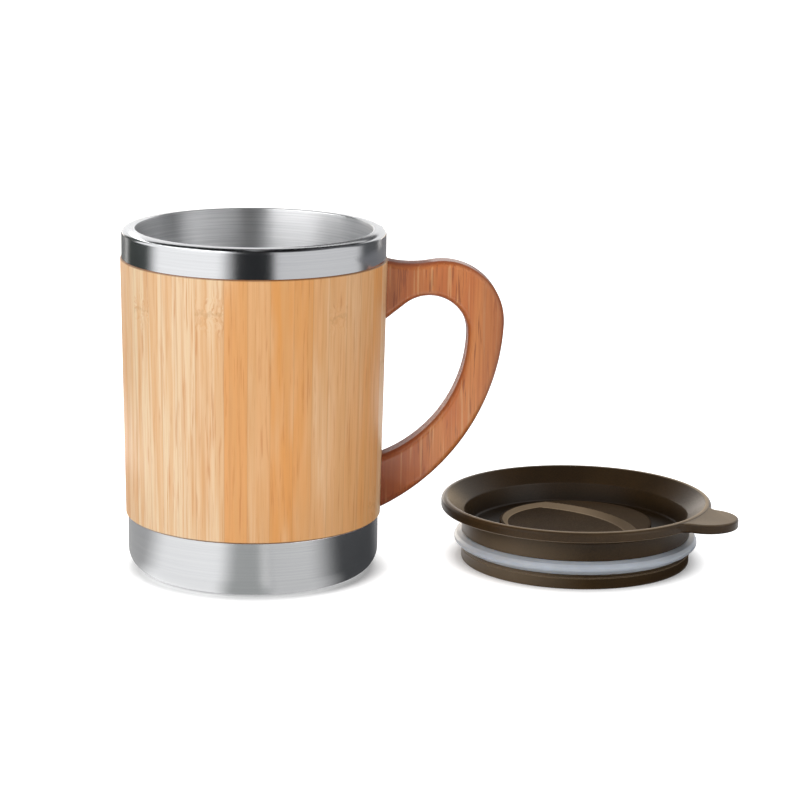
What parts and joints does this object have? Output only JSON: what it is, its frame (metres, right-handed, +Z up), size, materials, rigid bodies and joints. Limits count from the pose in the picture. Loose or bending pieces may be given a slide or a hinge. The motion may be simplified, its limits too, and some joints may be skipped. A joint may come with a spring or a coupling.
{
  "type": "mug with lid",
  "caption": "Double-walled mug with a steel cup in a turned bamboo sleeve, an ear-shaped bamboo handle and a push-in plastic lid with a turning closing disc.",
  "frame": {"origin": "centre of the mug's foot, on the table", "axes": "+Z up along the mug's axis, +X from the axis towards the handle; the lid lies beside the mug on the +X side"},
  "size_m": [0.1984, 0.0941, 0.1115],
  "materials": {
    "cup_steel": "brushed round the axis",
    "rim_steel": "satin",
    "base_steel": "satin, brushed round the axis",
    "screw_steel": "plain",
    "sleeve_bamboo": "natural bamboo, satin lacquer",
    "handle_bamboo": "carbonised bamboo, satin lacquer",
    "lid_plastic": "fine matte texture",
    "dial_plastic": "fine matte texture",
    "seal_silicone": "clear bluish silicone",
    "clip_steel": "plain spring steel"
  },
  "bodies": {
    "cup": {"inner_cup": "cup_steel", "rim_band": "rim_steel", "bamboo_sleeve": "sleeve_bamboo", "base_cap": "base_steel", "handle": "handle_bamboo", "handle_screws": "screw_steel"},
    "lid": {"lid_body": "lid_plastic", "lid_seal": "seal_silicone", "lid_ring": "lid_plastic", "dial_gasket": "seal_silicone"},
    "dial": {"lid_dial": "dial_plastic", "dial_clip": "clip_steel"}
  },
  "joints": [
    {"name": "lid_lift", "type": "slide", "parent": "cup", "child": "lid", "axis": [0.7071, 0, 0.7071], "range_m": [0, 0.13]},
    {"name": "dial_turn", "type": "hinge", "parent": "lid", "child": "dial", "pos_m": [0.1064, 0.0072, 0.0117], "axis": [0, 0, 1], "range_deg": [-60, 0]}
  ]
}
